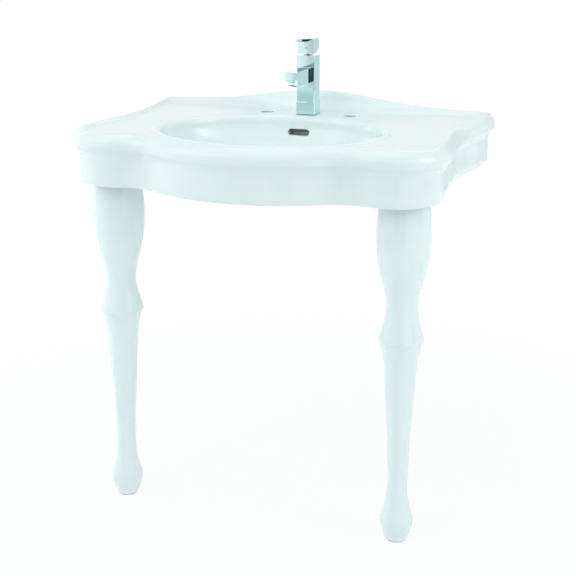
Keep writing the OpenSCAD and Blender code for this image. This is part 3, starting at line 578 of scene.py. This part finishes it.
shell, mouth = basinShell(basin)
bareWithPaintedShade(shell, slice(0))  # both finishes, glaze and bisque with painted shade, with no face bare yet
holeX, bowlFloor, over = basin["tapHoleX"], deck - bowlDepth, deck + basin["cutOver"]
cutters = [overflowBore(overflow, mouth), overflowSlot(basin, mouth)]
for x, r in ((-holeX, basin["sideHoleR"]), (holeX, basin["sideHoleR"]), (0, basin["tapHoleR"])):
    cutter = holeCutter(basin, "tapHole", r, deck - basin["cutUnder"], over, deck, deck - deckT)
    cutters.append(moved(cutter, x, setting["tapY"]))
cutter = holeCutter(basin, "wasteHole", basin["wasteHoleR"], deck - basin["wasteCut"], over,
                    bowlFloor, bowlFloor - bossH)
cutters.append(moved(cutter, 0, setting["bowlY"]))
seats = []
for side in (-1, 1):
    seatZ = deck - basin["seatDrop"]
    seat = rod("seat", basin["seatR"], seatZ, deck - basin["seatTop"], 96)
    seats.append(moved(seat, side * setting["legX"], setting["legY"]))
    low, high = basin["studCut"]
    bore = bareWithPaintedShade(rod("studHole", basin["studHoleR"], seatZ + low, seatZ + high))
    cutters.append(moved(bore, side * setting["legX"], setting["legY"]))
    wallBore = bareWithPaintedShade(rod("wallHole", basin["wallHoleR"], *basin["wallCut"]))
    wallBore.data.transform(Matrix.Rotation(math.pi / 2, 4, "X"))
    cutters.append(moved(wallBore, side * basin["wallHoleX"]))
chinaBasin = carve(shell, cutters, [*seats, overflowDuct(overflow, mouth)])
smooth(chinaBasin, basin["crease"], flats=True)
place(chinaBasin, "sink", "china", chinaOfBasin, "basin")
print("basin made:", len(chinaBasin.data.polygons), "faces")


# Legs

leg = {
    "bore": 20, "wall": 9, "crease": 28,
    # heights above the floor and radii of the turned profile
    "foot": [(2.5, 20.5), (4, 22.6), (15, 27.5), (30, 32.5), (42, 35.6), (50, 36)],
    "taper": [(50, 36), (72, 29.5), (98, 23.5), (115, 22.1), (140, 21.7), (180, 22.6), (260, 26.4),
              (340, 31), (398, 34.7), (415, 36.8), (430, 40), (441, 43.5), (450, 48)],
    "belly": [(450, 48), (473, 41.5), (490, 36.5), (520, 32.7), (550, 35.8), (590, 46.5), (640, 54.9),
              (675, 56.1), (712, 53.8), (760, 49.5), (810, 47)],
}


def turnedLeg(name, s, side):
    # Three smooth lines that meet in sharp rings at the foot's waist and at the knuckle, and a bore
    # that keeps the wall's thickness at every sixth point of them.
    line = np.vstack([throughPoints(s["foot"], 5)[:-1], throughPoints(s["taper"], 7)[:-1],
                      throughPoints(s["belly"], 9)])
    bore = np.c_[line[::-6, 0], np.minimum(s["bore"], line[::-6, 1] - s["wall"])]
    bore[-1, 0] = line[0, 0]
    profile = np.vstack([line, bore])[:, ::-1] + [0, setting["floor"]]
    obj = turned(name, profile, count=144)
    return moved(obj, side * setting["legX"], setting["legY"])


for side, name in ((-1, "left"), (1, "right")):
    obj = smooth(turnedLeg("turnedLeg" + name.title(), leg, side), leg["crease"])
    place(obj, "sink", "leg_china", legChinaWithPaintedShade, "leg_" + name)
print("legs made")


# Mixer

tap = {
    "w": 42, "h": 136.5, "plinthW": 44.5, "plinthH": 29.5, "bevel": 0.8, "gasket": 1,
    "overlap": 3,                                     # of the tower into the plinth
    "spoutW": 27, "spoutReach": 125, "spoutTop": 109, "spoutUnder": 76,
    "tipUnder": 91, "slopeStart": 80,                 # the spout's underside slopes up to the tip
    "trim": 2.5, "trimHoleR": 12.5, "trimEdge": 0.35,  # flat top with a hole for the stem
    "cartridgeR": 17.5, "cartridgeFloor": 96, "edge": 0.5,
    "cutTop": 160, "outletCut": (-1, 11),             # reach of the cutters
    "aeratorR": 11.5, "aeratorThreadR": 10.6, "aeratorAlong": 0.55, "aeratorBore": 9,
    "aeratorH": 8, "aeratorThreadH": 7,
    # rounded lip of the aerator: out from aeratorR, up from its lower end
    "aeratorLip": [(-0.9, 0), (-0.25, 0.3), (0, 1), (0, 6.8), (-0.2, 7.2), (-0.2, 8)],
    "crease": 34, "ringCrease": 40,
}
slopeAngle = math.atan2(tap["tipUnder"] - tap["spoutUnder"], tap["spoutReach"] - tap["slopeStart"])
aeratorRoot = (-tap["slopeStart"] - (tap["spoutReach"] - tap["slopeStart"]) * tap["aeratorAlong"],
               tap["spoutUnder"] + (tap["tipUnder"] - tap["spoutUnder"]) * tap["aeratorAlong"])


def octagon(w, bevel):
    a, b = w / 2, w / 2 - bevel
    return [(a, b), (b, a), (-b, a), (-a, b), (-a, -b), (-b, -a), (b, -a), (a, -b)]


def atTap(obj):
    return moved(obj, 0, setting["tapY"], deck)


def underSpout(obj):  # where the aerator sits, square to the slope
    obj.data.transform(Matrix.Rotation(-slopeAngle, 4, "X"))
    return moved(obj, 0, *aeratorRoot)


def tower(s):
    # A tall and a low square box and a spout box, joined, with a well for the cartridge and a hole
    # for the aerator. Every edge is rounded a little.
    foot, top = s["plinthH"] - s["overlap"], s["h"] - s["trim"]
    body = prism("tapTower", octagon(s["w"], s["bevel"]), foot, top)
    plinth = prism("plinth", octagon(s["plinthW"], s["bevel"]), s["gasket"], s["plinthH"])
    reach = s["spoutReach"]
    spout = prism("spout", [(0, s["spoutUnder"]), (0, s["spoutTop"]), (-reach, s["spoutTop"]),
                            (-reach, s["tipUnder"]), (-s["slopeStart"], s["spoutUnder"])],
                  -s["spoutW"] / 2, s["spoutW"] / 2, axis="x")
    well = rod("well", s["cartridgeR"], s["cartridgeFloor"], s["cutTop"], 96)
    outlet = underSpout(rod("outlet", s["aeratorThreadR"], *s["outletCut"], 64))
    carve(body, [well, outlet], [plinth, spout])
    return atTap(soften(body, s["edge"]))


place(smooth(tower(tap), tap["crease"], flats=True), "sink", "chrome", chrome, "tap_body")


def trim(s):
    plate = prism("trimPlate", octagon(s["w"], s["bevel"]), s["h"] - s["trim"], s["h"])
    hole = rod("hole", s["trimHoleR"], s["cartridgeFloor"], s["cutTop"], 96)
    return atTap(soften(carve(plate, [hole]), s["trimEdge"]))


place(smooth(trim(tap), tap["crease"], flats=True), "sink", "chrome", chrome, "trim_plate")

handle = {
    "w": 38.5, "z": 141.5, "h": 34, "edge": 0.6,
    "bevelStart": -5, "bevelRise": 10.8,              # bevel underneath, from this Y to the back
    "leverW": 9, "leverT": 6.5, "leverReach": 62, "leverRise": 4, "leverDrop": 0.6, "leverSink": 2,
    "stemR": 4, "stemTop": 166, "socketFrom": 130, "grubZ": 154, "grubR": 2, "grubReach": 40,
    "crease": 34,
}


def leverHandle(s):
    # A block bevelled underneath at the back, and a bar that slopes up to its tip. Each has its
    # edges rounded before they are joined, and the bar starts just below the block's top.
    a, top = s["w"] / 2, s["z"] + s["h"]
    root, tip, tipTop = s["leverSink"] - a, -a - s["leverReach"], top + s["leverRise"]
    outline = [(-a, s["z"]), (s["bevelStart"], s["z"]), (a, s["z"] + s["bevelRise"]), (a, top),
               (-a, top)]
    block = soften(prism("leverHandle", outline[::-1], -a, a, axis="x"), s["edge"])
    rootTop = top - s["leverDrop"]
    outline = [(tip, tipTop - s["leverT"]), (root, rootTop - s["leverT"]), (root, rootTop),
               (tip, tipTop)]
    half = s["leverW"] / 2
    bar = soften(prism("bar", outline[::-1], -half, half, axis="x"), s["edge"])
    grub = rod("grub", s["grubR"], 0, s["grubReach"], 32)
    grub.data.transform(Matrix.Rotation(math.pi / 2, 4, "X"))
    socket = rod("socket", s["stemR"], s["socketFrom"], s["stemTop"])
    return atTap(carve(block, [socket, moved(grub, 0, 0, s["grubZ"])], [bar]))


lever = smooth(leverHandle(handle), handle["crease"], flats=True)
place(lever, "mixer_handle", "chrome", chrome, "handle")


def aeratorRing(s):
    # A turned ring with a rounded outer lip, a bore for the insert and a thread above.
    bore, thread, low, high = s["aeratorBore"], s["aeratorThreadR"], -s["aeratorH"], s["aeratorThreadH"]
    outside = [(s["aeratorR"] + out, low + up) for out, up in s["aeratorLip"]]
    profile = [(bore, low + 0.6), (bore + 0.4, low), *outside, (thread, 0), (thread, high), (bore, high)]
    return atTap(underSpout(turned("aeratorRing", profile, count=72)))


place(smooth(aeratorRing(tap), tap["ringCrease"]), "sink", "chrome", chrome, "aerator_housing")
print("mixer made")


# Waste

waste = {
    "plugR": 30, "plugLow": 6.3, "stemR": 4, "stemLow": -10,
    "edge": [(-0.8, 0), (0, 0.8), (0, 2.2), (-0.5, 2.8)],      # rolled: out from plugR, up from plugLow
    "domeR": 28.5, "domeStart": 3, "domeRise": 1.2, "crease": 40,
}


def wastePlug(s):
    # A low dome: inside the rolled edge, the top rises as a cosine to the middle.
    low, stemR = s["plugLow"], s["stemR"]
    share = np.linspace(1, 0.001, 16)
    dome = np.c_[s["domeR"] * share, low + s["domeStart"] + s["domeRise"] * np.cos(share * np.pi / 2)]
    edge = [(s["plugR"] + out, low + up) for out, up in s["edge"]]
    stem = [(nearAxis, s["stemLow"]), (stemR, s["stemLow"]), (stemR, low)]
    obj = turned("domedPlug", np.vstack([stem, edge, dome]), closed=False)
    return moved(obj, 0, setting["bowlY"], deck - bowlDepth)


place(smooth(wastePlug(waste), waste["crease"]), "push_plug", "chrome", chrome, "waste_plug")
print("waste made")

finishes = {  # CAD nodes that keep their shape get the finish of their slot
    "rubber": blackRubber, "brass": brass, "steel": zincSteel, "chrome": chrome,
    "pad_plastic": whiteNylon, "cartridge_plastic": acetal, "aerator_plastic": greyAcetal,
    "index_plastic": paleIndex,
}
for part in frame["record"]["subparts"]:
    obj = nodes[part["node"]]
    if part["material_slot"] in finishes and not obj.hide_render:
        obj.data.materials.clear()
        obj.data.materials.append(finishes[part["material_slot"]])
print("finishes given")


# Studio

studio = {
    "floorSize": 60, "floorHex": "FFFFFF", "floorKeep": 0.88,   # share of plain white near the feet
    "fadeFrom": 0.5, "fadeTo": 1.6,                             # m; plain white beyond the second
    "worldHex": "E6FCFD", "worldStrength": 0.51,
    "lamps": [  # name, place in m, size in m, watts, whether mirrors show it
        ("keyBox", (-2.2, -2.4, 1.8), (2.6, 2.6), 22, True),
        ("leftFill", (-3.2, -0.2, -0.3), (1.6, 2.0), 32, False),
        ("rightBox", (2.9, -0.9, 1.15), (2.0, 2.2), 23, True),
        ("rightFill", (3.2, -0.3, -0.3), (1.6, 2.0), 11, False),
        ("topBox", (-0.4, -0.9, 3.0), (2.6, 2.2), 17, True),
        ("backBox", (0.3, 1.4, 2.4), (2.6, 2.0), 7.5, True),
        ("frontFill", (-0.6, -3.0, 1.4), (2.0, 1.6), 12.5, False),
    ],
    "cards": [  # seen only in the chrome and glaze: name, place in m, width, height, colour, strength
        ("cameraFlag", (0.69, -2.2, -0.1), 0.46, 0.8, "1E4446", 0.9),
        ("cornerFlag", (1.4, -0.57, -0.08), 0.5, 0.26, "8CA4A6", 0.27),
        ("frontCard", (-0.4, -3.4, 0.0), 1.32, 1.6, "F6FCFF", 0.66),
        ("backCard", (0.95, 2.8, 0.0), 1.6, 1.8, "E8F8F8", 0.8),
        ("leftStrip", (-3.0, 0.6, 0.9), 0.45, 1.6, "FFFFFF", 3.0),
        ("rightStrip", (3.0, -0.7, 1.3), 0.4, 1.2, "FFFFFF", 5.0),
        ("headCard", (-0.95, -2.9, 0.56), 0.9, 0.46, "D8ECEE", 0.45),
    ],
    "aim": (0, -0.3, 0.0),                                      # m; what lamps and cards face
}


def addFloor(s):
    half = s["floorSize"] / 2 / mm
    corners = [(x, y, setting["floor"]) for x, y in ((-half, -half), (half, -half), (half, half),
                                                     (-half, half))]
    floor = addMesh("floor", corners, [(0, 1, 2, 3)])
    material, tree, principled = newMaterial("white studio floor", Roughness=0.9)
    principled.inputs["Base Color"].default_value = linear(s["floorHex"])
    # Seen by the camera, part of the floor is plain white and the rest keeps the shadow. The part
    # grows to the whole over a distance from the feet.
    glow = addNode(tree, "ShaderNodeEmission", {"Color": linear("FFFFFF"), "Strength": 1.0})
    objectAt = addNode(tree, "ShaderNodeTexCoord").outputs["Object"]
    middle = (*s["aim"][:2], setting["floor"] * mm)
    far = addNode(tree, "ShaderNodeVectorMath", {0: objectAt, 1: middle}, operation="DISTANCE")
    plain = addNode(tree, "ShaderNodeMapRange", {
        "Value": far.outputs["Value"], "From Min": s["fadeFrom"], "From Max": s["fadeTo"],
        "To Min": s["floorKeep"], "To Max": 1.0}, interpolation_type="SMOOTHSTEP")
    share = addNode(tree, "ShaderNodeMath", {0: seenDirectly(tree), 1: plain.outputs["Result"]},
                    operation="MULTIPLY")
    mix = addNode(tree, "ShaderNodeMixShader", {0: share.outputs[0], 1: principled.outputs[0],
                                                2: glow.outputs[0]})
    tree.links.new(mix.outputs[0], tree.nodes["Material Output"].inputs["Surface"])
    floor.data.materials.append(material)


def seenDirectly(tree):  # 1 for camera, mirror and glass rays
    path = addNode(tree, "ShaderNodeLightPath")
    seen = addNode(tree, "ShaderNodeMath", {0: path.outputs["Is Camera Ray"],
                                            1: path.outputs["Is Glossy Ray"]}, operation="MAXIMUM")
    return addNode(tree, "ShaderNodeMath", {0: seen.outputs[0], 1: path.outputs["Is Transmission Ray"]},
                   operation="MAXIMUM").outputs[0]


def addWorld(s):
    world = bpy.data.worlds.new("studio")
    bpy.context.scene.world = world
    world.use_nodes = True
    tree = world.node_tree
    lit = tree.nodes["Background"]
    lit.inputs["Color"].default_value = linear(s["worldHex"])
    lit.inputs["Strength"].default_value = s["worldStrength"]
    white = addNode(tree, "ShaderNodeBackground", {"Color": linear("FFFFFF"), "Strength": 1.0})
    mix = addNode(tree, "ShaderNodeMixShader", {0: seenDirectly(tree), 1: lit.outputs[0],
                                                2: white.outputs[0]})
    tree.links.new(mix.outputs[0], tree.nodes["World Output"].inputs["Surface"])


def facing(obj, where, aim):  # stands it in its place and turns its front to the aim
    obj.location = where
    obj.rotation_euler = (Vector(aim) - Vector(where)).to_track_quat("-Z", "Y").to_euler()


def addLamps(s):
    for name, where, size, power, mirrored in s["lamps"]:
        lamp = bpy.data.lights.new(name, "AREA")
        lamp.shape = "RECTANGLE"
        lamp.size, lamp.size_y = size
        lamp.energy = power
        obj = bpy.data.objects.new(name, lamp)
        facing(obj, where, s["aim"])
        obj.visible_glossy = mirrored
        bpy.context.scene.collection.objects.link(obj)


def addCards(s):
    for name, where, width, height, hexCode, strength in s["cards"]:
        a, b = width / 2 / mm, height / 2 / mm
        card = addMesh(name, [(-a, -b, 0), (a, -b, 0), (a, b, 0), (-a, b, 0)], [(0, 1, 2, 3)])
        material, tree, _ = newMaterial(name + " paint")
        glow = addNode(tree, "ShaderNodeEmission", {"Color": linear(hexCode), "Strength": strength})
        tree.links.new(glow.outputs[0], tree.nodes["Material Output"].inputs["Surface"])
        card.data.materials.append(material)
        facing(card, where, s["aim"])
        for ray in ("camera", "diffuse", "shadow", "transmission", "volume_scatter"):
            setattr(card, "visible_" + ray, False)


camera = {
    "lens": 72.965, "sensor": 36, "shiftX": 0.0244, "shiftY": -0.12,
    "azimuth": 19.949, "pitch": 13.58,   # degrees
    "place": (851.1, -2683.7, 472.0),    # mm, from the wall fixing
    "farthest": 200,                     # m
}


def addCamera(s):
    data = bpy.data.cameras.new("camera")
    data.lens = s["lens"]
    data.sensor_width = s["sensor"]
    data.shift_x, data.shift_y = s["shiftX"], s["shiftY"]
    data.clip_end = s["farthest"]
    obj = bpy.data.objects.new("camera", data)
    obj.location = [v * mm for v in s["place"]]
    obj.rotation_euler = (math.radians(90 - s["pitch"]), 0, math.radians(s["azimuth"]))
    bpy.context.scene.collection.objects.link(obj)
    bpy.context.scene.camera = obj


addFloor(studio)
addWorld(studio)
addLamps(studio)
addCards(studio)
addCamera(camera)
bpy.context.scene.view_settings.view_transform = "Standard"
print("studio made")
